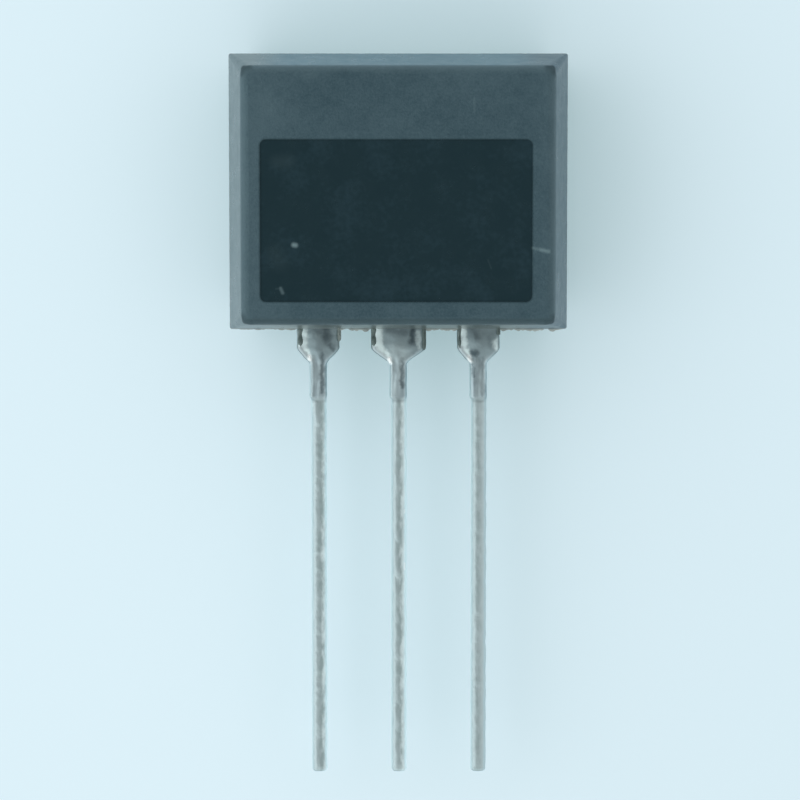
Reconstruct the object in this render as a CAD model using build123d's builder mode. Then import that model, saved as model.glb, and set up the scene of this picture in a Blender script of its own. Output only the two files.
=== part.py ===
"""Flat power transistor with three leads, for through-hole boards.

A dark epoxy slab is moulded round a stamped copper leadframe. The collector is the middle lead: inside
the epoxy it steps back to a wide plate, the die pad, and the silicon chip is soldered on it. The emitter
and base leads end inside in small posts, each joined to the chip by one aluminium bond wire.

The part lies on its back. X runs across the leads, Y points from the leads up the body, and Z points out
of the marked front face. The origin is the middle of the flat back face. Sizes are millimetres, and
angles are degrees.
"""

from build123d import *

import os
from math import radians, tan

# ---------------------------------------------------------------- moulded body
body_width = 10.5  # across X, at the parting line
body_height = 8.55  # along Y, at the parting line
front_depth = 2.35  # parting plane to the marked front face
back_depth = 2.15  # back face to the parting plane
side_draft = 11.4  # lean of the left and right walls
end_draft = 8.2  # lean of the top wall and the wall that the leads leave
parting_corner_radius = 0.07  # upright corners of the slab, nearly sharp at the parting line
face_corner_radius = 0.36  # the same corners, where they meet the front and back faces
face_radius = 0.28  # rounding round the front and back faces, less than their corners'

mark_width = 8.3  # polished patch in the front face, left for a marking
mark_height = 4.95
mark_margin = 0.7  # from the patch to the front face's edge at the lead end
mark_shift = -0.06  # the insert that polished the patch sits a little to the left
mark_depth = 0.03
mark_radius = 0.16

ejector_diameter = 1.6  # round witness marks of the mould's ejector pins, in the back face
ejector_depth = 0.08
ejector_spacing = 5.4
ejector_height = 1.6  # above the middle of the back face

# ---------------------------------------------------------------- leadframe, outside the body
frame_thickness = 0.5
lead_pitch = 2.5
lead_length = 14.0  # from the body to the tips
stem_width = 0.41
neck_width = 0.51  # between the root and the cut dam bar
neck_length = 2.12  # from the body to the cut dam bar
neck_taper = 0.12  # from the neck to the stem
root_length = 0.58  # wide root of each lead, outside the body
root_taper = 0.4  # from the wide root to the neck
side_root_width = 1.31
centre_root_width = 1.68
stamped_radius = 0.06  # long edges of the root and the neck, as stamped
stem_radius = 0.15  # long edges of the stem, coined and rounded by the tin
coin_inset = 0.25  # how far inside the body the rounded edges start
tip_chamfer = 0.05

# ---------------------------------------------------------------- leadframe, inside the body
post_inset = 1.15  # from the lead-end wall to the posts
post_width = 2.7
post_height = 1.2
frame_gap = 0.4  # between the collector's neck and the posts
lock_hole_diameter = 0.5  # holes that the epoxy fills, to hold the leads
lock_hole_inset = 0.7
shoulder_inset = 0.95  # from the lead-end wall to the end of the collector's wide root
centre_neck_width = 1.2
pad_side_wall = 1.4  # epoxy beside the die pad, at the parting line
pad_top_wall = 1.0
pad_back_wall = 0.75  # epoxy behind the die pad
pad_gap = 0.55  # between the posts and the die pad, along Y
step_inset = 1.2  # from the lead-end wall to where the collector's neck steps back
step_radius = 0.2
pad_notch_diameter = 0.8  # half-round notches in the die pad's sides, for the epoxy

# ---------------------------------------------------------------- chip and wires
chip_width = 2.4
chip_height = 2.2
chip_thickness = 0.25
chip_lift = 0.3  # chip's middle above the middle of the die pad
solder_thickness = 0.05
solder_margin = 0.12  # solder that shows round the chip
emitter_wire_diameter = 0.3
base_wire_diameter = 0.2
bond_inset = 0.6  # from the chip's side and lead-end edge to the middle of a bond
loop_height = 0.5  # of a wire's axis above the front of the leadframe
rise_run = 0.7  # length over which a wire climbs from a bond to its loop
foot_length = 0.6  # wedge bond at each end of a wire
foot_spread = 1.4  # width of a wedge bond, over the wire's diameter
foot_squash = 0.45  # height of a wedge bond, over the wire's diameter
wire_bend = 1.2  # bend radius of a wire, over its diameter

# ---------------------------------------------------------------- planes and places worked out from them
frame_back = back_depth - frame_thickness  # the leadframe's front face lies in the parting plane
back_plane = Plane.XY
frame_plane = Plane.XY.offset(frame_back)
parting_plane = Plane.XY.offset(back_depth)
front_plane = Plane.XY.offset(back_depth + front_depth)

lead_end = -body_height / 2  # Y of the wall that the leads leave, at the parting line
coin_start = lead_end + coin_inset
tip = lead_end - lead_length
lock_hole_y = lead_end + lock_hole_inset
shoulder_top = lead_end + shoulder_inset
mark_bottom = lead_end + front_depth * tan(radians(end_draft)) + mark_margin

post_bottom = lead_end + post_inset
post_x = centre_neck_width / 2 + frame_gap + post_width / 2
post_y = post_bottom + post_height / 2

pad_bottom = post_bottom + post_height + pad_gap
pad_top = body_height / 2 - pad_top_wall
pad_middle = (pad_bottom + pad_top) / 2
pad_half_width = body_width / 2 - pad_side_wall
pad_front = pad_back_wall + frame_thickness

chip_middle = pad_middle + chip_lift
chip_back = pad_front + solder_thickness
chip_front = chip_back + chip_thickness
bond_x = chip_width / 2 - bond_inset
bond_y = chip_middle - chip_height / 2 + bond_inset


def slab_outline(plane, depth, radius):
    """Outline of the slab at a depth from the parting plane, drawn in by the draft of its walls."""
    with BuildSketch(plane) as outline:
        RectangleRounded(
            body_width - 2 * depth * tan(radians(side_draft)),
            body_height - 2 * depth * tan(radians(end_draft)),
            radius,
        )
    return outline.sketch


def outer_lead(root_width):
    """Lead outside the body: sections from the wide root to the neck, the stem and the chamfered tip."""
    root_end = lead_end - root_length
    neck_end = lead_end - neck_length
    sections = [
        (coin_start, root_width, stamped_radius),
        (root_end, root_width, stamped_radius),
        (root_end - root_taper, neck_width, stamped_radius),
        (neck_end, neck_width, stamped_radius),
        (neck_end - neck_taper, stem_width, stem_radius),
        (tip, stem_width, stem_radius),
    ]
    with BuildPart() as lead:
        for station, width, radius in sections:
            with BuildSketch(Plane.XZ.offset(-station)):
                with Locations((0, frame_back + frame_thickness / 2)):
                    RectangleRounded(width, frame_thickness, radius)
        loft(ruled=True)
        chamfer(lead.faces().sort_by(Axis.Y)[0].edges(), length=tip_chamfer)
    return lead.part


def side_lead(side, label):
    """Emitter lead (side -1) or base lead (side +1), with the post that its bond wire lands on."""
    outer = outer_lead(side_root_width)
    with BuildPart() as lead:
        with BuildSketch(frame_plane):
            with Locations((side * lead_pitch, (coin_start + post_bottom) / 2)):
                Rectangle(side_root_width, post_bottom - coin_start)
            with Locations((side * post_x, post_y)):
                Rectangle(post_width, post_height)
        extrude(amount=frame_thickness)
        with Locations((side * lead_pitch, 0)):
            add(outer)
        with Locations((side * lead_pitch, lock_hole_y, back_depth)):
            Hole(lock_hole_diameter / 2, depth=frame_thickness)
    lead.part.label = label
    return lead


def bond_wire(start, end, diameter, landings, label):
    """Aluminium wire looped between two flat-bottomed wedge bonds, trimmed to the pieces that it lands on."""
    along = Vector(end.X - start.X, end.Y - start.Y, 0)
    upright = Plane(origin=(start.X, start.Y, 0), x_dir=along, z_dir=along.cross(Vector(0, 0, 1)))
    foot_height = foot_squash * diameter
    start_height = start.Z + foot_height / 2
    end_height = end.Z + foot_height / 2
    loop_top = back_depth + loop_height
    with BuildPart() as wire:
        with BuildLine(upright) as loop:
            FilletPolyline(
                (0, start_height),
                (foot_length / 2, start_height),
                (foot_length / 2 + rise_run, loop_top),
                (along.length - foot_length / 2 - rise_run, loop_top),
                (along.length - foot_length / 2, end_height),
                (along.length, end_height),
                radius=wire_bend * diameter,
            )
        with BuildSketch(Plane(origin=loop.line @ 0, z_dir=loop.line % 0)):
            Circle(diameter / 2)
        sweep()
        for bond in (start, end):
            with BuildSketch(Plane(origin=bond, x_dir=along, z_dir=(0, 0, 1))):
                SlotOverall(foot_length, foot_spread * diameter)
            extrude(amount=foot_height)
        for landing in landings:
            add(landing.part, mode=Mode.SUBTRACT)
    wire.part.label = label
    return wire


# Emitter and base: straight stampings.
emitter_lead = side_lead(-1, "emitter_lead")
base_lead = side_lead(+1, "base_lead")

# Collector: the strip's side profile, with its step back to the die pad, cut to the flat pattern.
collector_outer = outer_lead(centre_root_width)
with BuildPart() as collector_lead:
    with BuildSketch(Plane.YZ):
        with BuildLine():
            FilletPolyline(
                (coin_start, frame_back),
                (lead_end + step_inset, frame_back),
                (pad_bottom, pad_back_wall),
                (pad_top, pad_back_wall),
                radius=[step_radius, step_radius + frame_thickness],
            )
            offset(amount=frame_thickness, side=Side.LEFT)
        make_face()
    extrude(amount=pad_half_width, both=True)
    with BuildSketch(Plane.XY):
        with Locations((0, (coin_start + shoulder_top) / 2)):
            Rectangle(centre_root_width, shoulder_top - coin_start)
        with Locations((0, (coin_start + pad_middle) / 2)):
            Rectangle(centre_neck_width, pad_middle - coin_start)
        with Locations((0, pad_middle)):
            Rectangle(2 * pad_half_width, pad_top - pad_bottom)
        with Locations((-pad_half_width, chip_middle), (pad_half_width, chip_middle)):
            Circle(pad_notch_diameter / 2, mode=Mode.SUBTRACT)
    extrude(amount=back_depth, mode=Mode.INTERSECT)
    add(collector_outer)
    with Locations((0, lock_hole_y, back_depth)):
        Hole(lock_hole_diameter / 2, depth=frame_thickness)
collector_lead.part.label = "collector_lead"

with BuildPart() as die_solder:
    with BuildSketch(Plane.XY.offset(pad_front)):
        with Locations((0, chip_middle)):
            RectangleRounded(chip_width + 2 * solder_margin, chip_height + 2 * solder_margin, solder_margin)
    extrude(amount=solder_thickness)
die_solder.part.label = "die_solder"

with BuildPart() as silicon_chip:
    with BuildSketch(Plane.XY.offset(chip_back)):
        with Locations((0, chip_middle)):
            Rectangle(chip_width, chip_height)
    extrude(amount=chip_thickness)
silicon_chip.part.label = "silicon_chip"

emitter_wire = bond_wire(
    Vector(-bond_x, bond_y, chip_front),
    Vector(-post_x, post_y, back_depth),
    emitter_wire_diameter,
    [silicon_chip, emitter_lead],
    "emitter_wire",
)
base_wire = bond_wire(
    Vector(bond_x, bond_y, chip_front),
    Vector(post_x, post_y, back_depth),
    base_wire_diameter,
    [silicon_chip, base_lead],
    "base_wire",
)

inner_pieces = [emitter_lead, base_lead, collector_lead, die_solder, silicon_chip, emitter_wire, base_wire]

# Epoxy body: two drafted halves on the parting plane, moulded tight round everything inside it.
with BuildPart() as moulded_body:
    widest = slab_outline(parting_plane, 0, parting_corner_radius)
    loft([widest, slab_outline(front_plane, front_depth, face_corner_radius)])
    loft([widest, slab_outline(back_plane, back_depth, face_corner_radius)])
    faces_by_height = moulded_body.faces().sort_by(Axis.Z)
    fillet(faces_by_height[0].edges() + faces_by_height[-1].edges(), radius=face_radius)
    with BuildSketch(front_plane):
        with Locations((mark_shift, mark_bottom + mark_height / 2)):
            RectangleRounded(mark_width, mark_height, mark_radius)
    extrude(amount=-mark_depth, mode=Mode.SUBTRACT)
    with BuildSketch(back_plane):
        with Locations((0, ejector_height)):
            with GridLocations(ejector_spacing, 0, 2, 1):
                Circle(ejector_diameter / 2)
    extrude(amount=ejector_depth, mode=Mode.SUBTRACT)
    for piece in inner_pieces:
        add(piece.part, mode=Mode.SUBTRACT)
moulded_body.part.label = "moulded_body"

os.makedirs("parts", exist_ok=True)
for piece in [moulded_body, *inner_pieces]:
    export_step(piece.part, f"parts/{piece.part.label}.step")
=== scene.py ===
# %% [markdown]
# # A flat power transistor, lying on its back
#
# The real object is a small slab of dark epoxy with three tinned leads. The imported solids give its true
# form, and this script gives each surface its finish. New pieces are only what the mould and the tin bath
# leave behind: the skins of tin over the leads, the thin resin flash, and the slivers of resin at the
# leads' roots. Everything is in metres, in the frame of the solids: X across the leads, Y up the body, Z
# out of the front.

import bpy
import numpy as np
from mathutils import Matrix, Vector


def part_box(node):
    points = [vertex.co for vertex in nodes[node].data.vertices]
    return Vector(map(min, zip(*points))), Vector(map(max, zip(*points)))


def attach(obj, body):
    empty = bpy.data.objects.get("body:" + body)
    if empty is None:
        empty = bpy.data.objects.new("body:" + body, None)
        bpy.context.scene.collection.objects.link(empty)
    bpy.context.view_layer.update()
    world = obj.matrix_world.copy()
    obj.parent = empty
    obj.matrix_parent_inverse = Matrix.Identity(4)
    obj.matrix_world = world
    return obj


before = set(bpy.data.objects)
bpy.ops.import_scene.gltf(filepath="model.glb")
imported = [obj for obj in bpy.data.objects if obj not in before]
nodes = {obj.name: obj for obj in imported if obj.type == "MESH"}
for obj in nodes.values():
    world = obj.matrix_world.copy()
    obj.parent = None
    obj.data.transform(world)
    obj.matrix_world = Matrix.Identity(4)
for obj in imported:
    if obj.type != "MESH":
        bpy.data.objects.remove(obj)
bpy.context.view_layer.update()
print("solids:", sorted(nodes))

# %% [markdown]
# ## Sizes read from the solids
#
# Nothing here is placed by eye. The body's box gives the wall that the leads leave and the front face,
# and the emitter lead's highest point gives the parting plane. The corners of the front face and of the
# polished patch in it are found among the body's own vertices.

# %% Measure the body
MM = 0.001


def node_points(name):
    """Every vertex of a solid, as rows of x, y, z."""
    vertices = nodes[name].data.vertices
    flat = np.empty(len(vertices) * 3, dtype=np.float32)
    vertices.foreach_get("co", flat)
    return flat.reshape(-1, 3).astype(float)


body_low, body_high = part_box("moulded_body")
lead_low, lead_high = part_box("emitter_lead")
lead_end = body_low.y
front = body_high.z
parting = lead_high.z
lead_middle = (lead_low.z + lead_high.z) / 2
half_thickness = (lead_high.z - lead_low.z) / 2

body_points = node_points("moulded_body")
face_points = body_points[body_points[:, 2] > front - 0.001 * MM][:, :2]
face_low = face_points.min(axis=0)
face_high = face_points.max(axis=0)
inside_face = np.all((face_points > face_low + 0.3 * MM) & (face_points < face_high - 0.3 * MM), axis=1)
patch_low = face_points[inside_face].min(axis=0)
patch_high = face_points[inside_face].max(axis=0)
print("front face, mm:", (face_low / MM).round(2), (face_high / MM).round(2))
print("patch, mm:", (patch_low / MM).round(2), (patch_high / MM).round(2))

# %% [markdown]
# ## Reading a lead
#
# A lead is a row of sections: wide at its root, narrow at its neck, narrower along the stem. A section is
# a Y value that many vertices share, and the largest distance from the middle line there is its half
# width. The tin skins are worked out from these few numbers.

# %% Measure the leads


def lead_plan(name):
    """Middle line, distances from the wall, and half width at each, of a lead outside the body."""
    points = node_points(name)
    outside = points[points[:, 1] < lead_end]
    end = outside[outside[:, 1] < outside[:, 1].min() + 0.01 * MM]
    middle = (end[:, 0].min() + end[:, 0].max()) / 2
    stations, counts = np.unique(outside[:, 1].round(6), return_counts=True)
    stations = stations[counts > counts.max() / 2][::-1]
    near = np.abs(outside[:, 1] - stations[:, None]) < 0.002 * MM
    half_widths = np.where(near, np.abs(outside[:, 0] - middle), 0).max(axis=1)
    return middle, lead_end - stations, half_widths


LEADS = ["emitter", "collector", "base"]
plans = {name: lead_plan(f"{name}_lead") for name in LEADS}
for name, (middle, distances, half_widths) in plans.items():
    print(name, round(middle / MM, 3), (distances / MM).round(2), (half_widths / MM).round(3))

# %% [markdown]
# ## Camera
#
# The part lies on a bench and is seen from straight above through a long lens, from a little towards the
# far end, so that the far wall shows as a wider rim than the near one. The camera looks at the parting
# plane, a little below the body, so that the leads are in view.

# %% Camera
VIEW_DISTANCE = 119 * MM
VIEW_LEAN = np.radians(6.2)
LENS = 171.35

look_at = np.array([0.055 * MM, lead_end - 2.234 * MM, parting])
camera = bpy.data.objects.new("camera", bpy.data.cameras.new("camera"))
camera.data.lens = LENS
camera.data.clip_start = 0.01
camera.data.clip_end = 10
camera.location = look_at + VIEW_DISTANCE * np.array([0, np.sin(VIEW_LEAN), np.cos(VIEW_LEAN)])
camera.rotation_euler = (-VIEW_LEAN, 0, 0)
bpy.context.scene.collection.objects.link(camera)
bpy.context.scene.camera = camera
print("camera at, mm:", [round(value / MM, 2) for value in camera.location])

# %% [markdown]
# ## Nodes in few words
#
# A material is a small network of nodes. Writing each link by hand takes many lines, so one helper adds a
# node: its inputs are given by name, and each is either a number or colour, or another node's output to
# link. Effects that several materials share are node groups, each with named inputs and outputs, built
# once here.

# %% Helpers for nodes


def add_node(tree, kind, inputs=(), **settings):
    """A new shader node, with its settings made and its inputs set or linked."""
    made = tree.nodes.new("ShaderNode" + kind)
    for key, value in settings.items():
        setattr(made, key, value)
    for key, value in dict(inputs).items():
        if isinstance(value, bpy.types.NodeSocket):
            tree.links.new(value, made.inputs[key])
        else:
            made.inputs[key].default_value = value
    return made


def math(tree, operation, *values):
    """Result of one Math node, or of a chain of them where the operation joins more than two values."""
    result = values[0]
    for value in values[1:] or [0.0]:
        result = add_node(tree, "Math", {0: result, 1: value}, operation=operation).outputs[0]
    return result


def fade(tree, value, start, end, low=0.0, high=1.0):
    """Smooth change from low to high as a value goes from start to end."""
    ends = {"Value": value, "From Min": start, "From Max": end, "To Min": low, "To Max": high}
    return add_node(tree, "MapRange", ends, interpolation_type="SMOOTHSTEP").outputs["Result"]


def blend_colour(tree, mask, first, second):
    """The first colour where the mask is 0, and the second where it is 1."""
    mix = add_node(tree, "Mix", {0: mask, 6: first, 7: second}, data_type="RGBA")
    return mix.outputs[2]


# %% Helpers for node groups


def new_group(name, inputs, output):
    """An empty node group with its sockets, and the nodes that stand for its two ends."""
    tree = bpy.data.node_groups.new(name, "ShaderNodeTree")
    for label, value in inputs.items():
        kind = "NodeSocketVector" if isinstance(value, tuple) else "NodeSocketFloat"
        socket = tree.interface.new_socket(label, in_out="INPUT", socket_type=kind)
        socket.default_value = value
    tree.interface.new_socket(output, in_out="OUTPUT", socket_type="NodeSocketFloat")
    return tree, tree.nodes.new("NodeGroupInput").outputs, tree.nodes.new("NodeGroupOutput").inputs


def use_group(tree, group, inputs):
    """Result of a node group placed in a tree with these inputs."""
    return add_node(tree, "Group", inputs, node_tree=group).outputs[0]


# %% Mottle
# Noise of one size, in millimetres, squeezed about the middle: low where it dips, high where it peaks.
given = {"Point": (0, 0, 0), "Size": 0.2, "Low": 0.0, "High": 1.0}
mottle, given, result = new_group("mottle", given, "Value")
noise = {"Vector": given["Point"], "Scale": math(mottle, "DIVIDE", 1 / MM, given["Size"])}
noise = add_node(mottle, "TexNoise", noise | {"Detail": 3.0, "Roughness": 0.55}).outputs["Fac"]
spread = {"Value": noise, "From Min": 0.3, "From Max": 0.7, "To Min": given["Low"], "To Max": given["High"]}
mottle.links.new(add_node(mottle, "MapRange", spread).outputs["Result"], result["Value"])


def mottled(tree, point, size, low=0.0, high=1.0):
    """Value of the mottle of one size at a point, between low and high."""
    return use_group(tree, mottle, {"Point": point, "Size": size, "Low": low, "High": high})


# %% Helpers for vectors


def vector_math(tree, operation, first, second=(0, 0, 0)):
    """Vector result of one Vector Math node."""
    return add_node(tree, "VectorMath", {0: first, 1: second}, operation=operation).outputs["Vector"]


def vector_value(tree, operation, first, second=(0, 0, 0)):
    """Number that one Vector Math node gives, such as a dot product or a length."""
    return add_node(tree, "VectorMath", {0: first, 1: second}, operation=operation).outputs["Value"]


def scaled(tree, vector, factor):
    """A vector times a number."""
    return add_node(tree, "VectorMath", {0: vector, 3: factor}, operation="SCALE").outputs["Vector"]


# %% Line mark
# A scratch: 1 on the line from a to b, 0 past its width. The distance to it is |p - a - t (b - a)|, with
# t = ((p - a).(b - a)) / |b - a|^2, kept between 0 and 1.
given = {"Point": (0, 0, 0), "Start": (0, 0, 0), "End": (0, 0, 1), "Width": 0.001}
line_mark, given, result = new_group("line_mark", given, "Mask")
run = vector_math(line_mark, "SUBTRACT", given["End"], given["Start"])
offset = vector_math(line_mark, "SUBTRACT", given["Point"], given["Start"])
along = vector_value(line_mark, "DOT_PRODUCT", offset, run)
square = vector_value(line_mark, "DOT_PRODUCT", run, run)
share = add_node(line_mark, "Clamp", {"Value": math(line_mark, "DIVIDE", along, square)}).outputs[0]
gap = vector_math(line_mark, "SUBTRACT", offset, scaled(line_mark, run, share))
gap = vector_value(line_mark, "LENGTH", gap)
line_mark.links.new(fade(line_mark, gap, 0.0, given["Width"], 1.0, 0.0), result["Mask"])


def line_marks(tree, point, marks):
    """Mask of many line marks, each with its two ends in metres, its width in mm and its depth, 0 to 1."""
    total = 0.0
    for start, end, width, depth in marks:
        line = {"Point": point, "Start": start, "End": end, "Width": width * MM}
        mark = math(tree, "MULTIPLY", use_group(tree, line_mark, line), depth)
        total = math(tree, "MAXIMUM", mark, total)
    return total


# %% Box mask
# 1 inside a box with rounded corners, 0 past a soft border. The distance from the box shrunk by the corner
# radius r is |max(|p - c| - h + r, 0)|.
given = {"Point": (0, 0, 0), "Centre": (0, 0, 0), "Half Size": (1, 1, 1), "Corner": 0.0, "Border": 0.001}
box_mask, given, result = new_group("box_mask", given, "Mask")
offset = vector_math(box_mask, "SUBTRACT", given["Point"], given["Centre"])
beyond = vector_math(box_mask, "SUBTRACT", vector_math(box_mask, "ABSOLUTE", offset), given["Half Size"])
beyond = vector_math(box_mask, "ADD", beyond, given["Corner"])
gap = vector_value(box_mask, "LENGTH", vector_math(box_mask, "MAXIMUM", beyond))
past = math(box_mask, "ADD", given["Corner"], given["Border"])
box_mask.links.new(fade(box_mask, gap, given["Corner"], past, 1.0, 0.0), result["Mask"])
print("shared effects:", [group.name for group in bpy.data.node_groups])

# %% [markdown]
# ## Floor
#
# The part lies on a smooth pale sheet. Its colour is the floor's own, and part of what the camera sees of
# it is given off evenly, as light does that enters a pale plastic sheet and comes out a little further
# on. That keeps the shadow round the body soft, without more light on the part. This light has passed
# through blue plastic, so it is less red, and the colour of the light thrown back is worked out so that
# the two still add up to the floor's own colour in the open.

# %% Helpers for meshes and materials


def new_material(name):
    """A new material, its empty tree, and in the tree the point on the surface in the object's frame."""
    material = bpy.data.materials.new(name)
    material.use_nodes = True
    tree = material.node_tree
    tree.nodes.clear()
    return material, tree, add_node(tree, "TexCoord").outputs["Object"]


def sheet_rings(radius, thickness, rings=24, around=96):
    """Rings of a round sheet, r = radius (k / rings)^2, dense near the middle. The last one drops down."""
    reach = radius * (np.arange(1, rings + 1) / rings) ** 2
    reach = np.append(reach, radius)
    height = np.append(np.zeros(rings), -thickness)
    angle = np.linspace(0, 2 * np.pi, around, endpoint=False)
    x = reach[:, None] * np.cos(angle)
    y = reach[:, None] * np.sin(angle)
    return np.stack([x, y, height[:, None] + 0 * x], axis=-1)


def skin(name, rings, closed=False):
    """Mesh object over a stack of rings, (rings, points, 3), with capped ends unless the stack is closed.

    The volume inside, the sum of p0 . (p1 x p2) / 6, has to be positive. If not, the faces are turned.
    """
    count, around, _ = rings.shape
    index = np.arange(count * around).reshape(count, around)
    lower = index if closed else index[:-1]
    upper = np.roll(index, -1, axis=0) if closed else index[1:]
    beside = [np.roll(level, -1, axis=1) for level in (lower, upper)]
    quads = np.stack([lower, beside[0], beside[1], upper], axis=-1).reshape(-1, 4)
    points = rings.reshape(-1, 3)
    corners = points[quads]
    volume = np.einsum("ij,ij->i", corners[:, 0], np.cross(corners[:, 1], corners[:, 2])).sum()
    volume += np.einsum("ij,ij->i", corners[:, 0], np.cross(corners[:, 2], corners[:, 3])).sum()
    caps = [] if closed else [index[0][::-1].tolist(), index[-1].tolist()]
    faces = quads.tolist() + caps
    if volume < 0:
        faces = [face[::-1] for face in faces]
    mesh = bpy.data.meshes.new(name)
    mesh.from_pydata(points.tolist(), [], faces)
    mesh.polygons.foreach_set("use_smooth", np.ones(len(mesh.polygons), dtype=bool))
    mesh.update()
    made = bpy.data.objects.new(name, mesh)
    bpy.context.scene.collection.objects.link(made)
    print(f"{name}: {len(mesh.vertices)} points, {2 * len(quads)} triangles, turned {volume < 0}")
    return made


# %% Floor
FLOOR_COLOUR = (0.725, 0.885, 0.955, 1.0)
FLOOR_RADIUS = 800 * MM
FLOOR_THICKNESS = 5 * MM
FLOOR_REACH = 12 * MM
FLOOR_DIMMED = 0.965
FLOOR_GLOW = 0.27
GLOW_TINT = np.array([0.77, 1.07, 0.97])
MATTE_TINT = (1 - FLOOR_GLOW * GLOW_TINT) / (1 - FLOOR_GLOW)

floor = skin("floor", sheet_rings(FLOOR_RADIUS, FLOOR_THICKNESS))
floor_material, tree, point = new_material("pale_sheet")
path = add_node(tree, "LightPath").outputs
seen = math(tree, "MAXIMUM", path["Is Glossy Ray"], path["Is Transmission Ray"], path["Is Camera Ray"])
place = add_node(tree, "SeparateXYZ", {0: point}).outputs
# Painted shade: the floor dims a little towards the right, as the light falls off there.
painted_falloff = fade(tree, place["X"], -FLOOR_REACH, FLOOR_REACH, 1.0, FLOOR_DIMMED)


def floor_tone(tint):
    """The floor's colour times a tint, with painted shade: a little dimmer to the right, where the light
    falls off.
    """
    return scaled(tree, np.array(FLOOR_COLOUR[:3]) * tint, painted_falloff)


matte = add_node(tree, "BsdfDiffuse", {"Color": floor_tone(MATTE_TINT)}).outputs[0]
glow = add_node(tree, "Emission", {"Color": floor_tone(GLOW_TINT)}).outputs[0]
glowing = math(tree, "MULTIPLY", seen, FLOOR_GLOW)
mixed = add_node(tree, "MixShader", {0: glowing, 1: matte, 2: glow}).outputs[0]
add_node(tree, "OutputMaterial", {"Surface": mixed})
floor.data.materials.append(floor_material)

# %% [markdown]
# ## Studio light
#
# A studio's light tent is bright all round and dark straight overhead, where the camera looks in. So the
# world is a dome whose strength depends on height, with more from the left, mostly from high up, and a
# little from near. The leads show it well: dark along the middle, where they face the camera, and bright
# along their sides. A level floor takes in the sum of L(z) 2 z dz over the dome, with z the sine of the
# height, and the strength makes it 1, so that a colour renders as it is written.

# %% Studio light
DOME_HEIGHTS = np.array([0.0, 0.15, 0.40, 0.76, 0.90, 1.0])
DOME_LEVELS = np.array([0.80, 0.95, 1.30, 1.25, 0.34, 0.22])
DOME_SIDE_LOW = 0.14
DOME_SIDE_HIGH = 0.44
DOME_NEAR = 0.08

sines = np.linspace(0, 1, 2001)
levels = np.interp(sines, DOME_HEIGHTS, DOME_LEVELS)
dome_strength = 1 / np.mean(levels * 2 * sines)
print("dome strength:", round(float(dome_strength), 3))

world = bpy.data.worlds.new("light_tent")
world.use_nodes = True
tree = world.node_tree
tree.nodes.clear()
direction = add_node(tree, "SeparateXYZ", {0: add_node(tree, "TexCoord").outputs["Generated"]}).outputs
ramp = add_node(tree, "ValToRGB", {0: direction["Z"]})
ramp.color_ramp.elements.remove(ramp.color_ramp.elements[1])
ramp.color_ramp.elements[0].position = 0.0
for height, level in zip(DOME_HEIGHTS[1:], DOME_LEVELS[1:]):
    ramp.color_ramp.elements.new(height)
for element, level in zip(ramp.color_ramp.elements, DOME_LEVELS):
    element.color = (level, level, level, 1.0)
side = fade(tree, direction["Z"], 0.05, 0.45, -DOME_SIDE_LOW, -DOME_SIDE_HIGH)
side = math(tree, "MULTIPLY", direction["X"], side)
near = math(tree, "MULTIPLY", direction["Y"], -DOME_NEAR)
strength = math(tree, "MULTIPLY", math(tree, "ADD", side, 1.0, near), float(dome_strength))
lit = add_node(tree, "Background", {"Color": ramp.outputs[0], "Strength": strength})
plain = add_node(tree, "Background", {"Color": FLOOR_COLOUR, "Strength": 1.0})
camera_ray = add_node(tree, "LightPath").outputs["Is Camera Ray"]
both = add_node(tree, "MixShader", {0: camera_ray, 1: lit.outputs[0], 2: plain.outputs[0]})
add_node(tree, "OutputWorld", {"Surface": both.outputs[0]})
bpy.context.scene.world = world
bpy.context.scene.view_settings.view_transform = "Standard"

# %% [markdown]
# ## Moulded epoxy
#
# The body is filled epoxy from a spark-eroded mould: a fine dull grain over the face and the walls, and a
# darker polished patch where the marking goes, here left bare. The grain is bump from noise, three sizes
# of mottle vary the colour, and the patch is a box mask, so it keeps its place on the solid. The walls
# slid out of the mould, which left them smoother, and each has a tone of painted light, lit on the left and
# shaded on the right. Painted shade darkens the face's corners and a line under it at the lead end. The few
# scratches, specks and smudges that the part has picked up are line marks, thin or wide.

# %% Colours of the epoxy
EPOXY = (0.022, 0.047, 0.063, 1.0)
EPOXY_PALE = (0.050, 0.086, 0.105, 1.0)
# Painted light: each wall's tone, lit on the left, shaded on the right, bluer at the top.
WALL_PAINTED_LIGHT = {
    "Top": (0.042, 0.112, 0.156, 1.0),
    "Lead end": (0.036, 0.050, 0.046, 1.0),
    "Left": (0.080, 0.122, 0.136, 1.0),
    "Right": (0.014, 0.050, 0.078, 1.0),
}
WALLS_BELOW = (0.034, 0.060, 0.072, 1.0)
EPOXY_EDGE_PAINTED_LIGHT = (0.074, 0.114, 0.130, 1.0)
# Painted shade, in a line under the face at the lead end and in the face's corners.
EPOXY_PAINTED_SHADE = (0.010, 0.022, 0.028, 1.0)
# Painted reflection: the lead-end wall lighter towards the parting line.
EPOXY_PAINTED_LIGHT = (0.151, 0.192, 0.186, 1.0)
EPOXY_SHEEN = (0.62, 0.95, 1.0, 1.0)
PATCH = (0.0072, 0.0202, 0.0268, 1.0)
SCUFF = (0.17, 0.25, 0.27, 1.0)

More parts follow.
